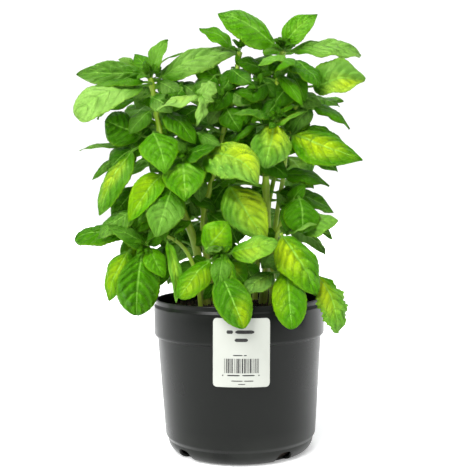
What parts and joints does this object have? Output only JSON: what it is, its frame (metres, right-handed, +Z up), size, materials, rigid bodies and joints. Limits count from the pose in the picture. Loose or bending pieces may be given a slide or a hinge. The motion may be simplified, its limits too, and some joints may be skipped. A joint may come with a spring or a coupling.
{
  "type": "potted basil plant",
  "caption": "Bushy sweet basil with broad glossy leaves on green stems, growing in a round dark nursery pot with a paper care label.",
  "frame": {"origin": "middle of the pot's flat underside", "axes": "+Z up along the pot's axis, -Y the front where the label is, +X to the right seen from the front"},
  "size_m": [0.274, 0.21, 0.4109],
  "materials": {
    "pot_plastic": "satin injection-moulded charcoal plastic",
    "potting_mix": "damp dark peat and bark with a few pale grains",
    "label_card": "satin off-white card with plain dark bars",
    "stem_green": "smooth pale green herb stem, browner near the soil",
    "leaf_green": "glossy blistered green leaf with yellow-green patches, paler and duller underneath"
  },
  "bodies": {
    "root": {"pot": "pot_plastic", "soil": "potting_mix", "label": "label_card", "left_stem": "stem_green", "left_leaf_1": "leaf_green", "left_leaf_2": "leaf_green", "left_leaf_3": "leaf_green", "left_leaf_4": "leaf_green", "left_leaf_5": "leaf_green", "left_leaf_6": "leaf_green", "left_leaf_7": "leaf_green", "left_leaf_8": "leaf_green", "left_leaf_9": "leaf_green", "left_leaf_10": "leaf_green", "left_leaf_11": "leaf_green", "centre_left_stem": "stem_green", "centre_left_leaf_1": "leaf_green", "centre_left_leaf_2": "leaf_green", "centre_left_leaf_3": "leaf_green", "centre_right_stem": "stem_green", "centre_right_leaf_1": "leaf_green", "centre_right_leaf_2": "leaf_green", "centre_right_leaf_3": "leaf_green", "centre_right_leaf_4": "leaf_green", "centre_right_leaf_5": "leaf_green", "centre_right_leaf_6": "leaf_green", "centre_right_leaf_7": "leaf_green", "centre_right_leaf_8": "leaf_green", "right_stem": "stem_green", "right_leaf_1": "leaf_green", "right_leaf_2": "leaf_green", "right_leaf_3": "leaf_green", "right_leaf_4": "leaf_green", "right_low_stem": "stem_green", "right_low_leaf_1": "leaf_green", "right_low_leaf_2": "leaf_green", "left_low_stem": "stem_green", "left_low_leaf_1": "leaf_green", "left_low_leaf_2": "leaf_green", "left_low_leaf_3": "leaf_green", "left_low_leaf_4": "leaf_green", "front_left_stem": "stem_green", "front_left_leaf_1": "leaf_green", "front_left_leaf_2": "leaf_green", "front_left_leaf_3": "leaf_green", "front_left_leaf_4": "leaf_green", "front_right_stem": "stem_green", "front_right_leaf_1": "leaf_green", "front_right_leaf_2": "leaf_green", "front_right_leaf_3": "leaf_green", "front_right_leaf_4": "leaf_green", "back_left_stem": "stem_green", "back_left_leaf_1": "leaf_green", "back_left_leaf_2": "leaf_green", "back_left_leaf_3": "leaf_green", "back_left_leaf_4": "leaf_green", "back_right_stem": "stem_green", "back_right_leaf_1": "leaf_green", "back_right_leaf_2": "leaf_green", "back_right_leaf_3": "leaf_green"}
  },
  "joints": []
}
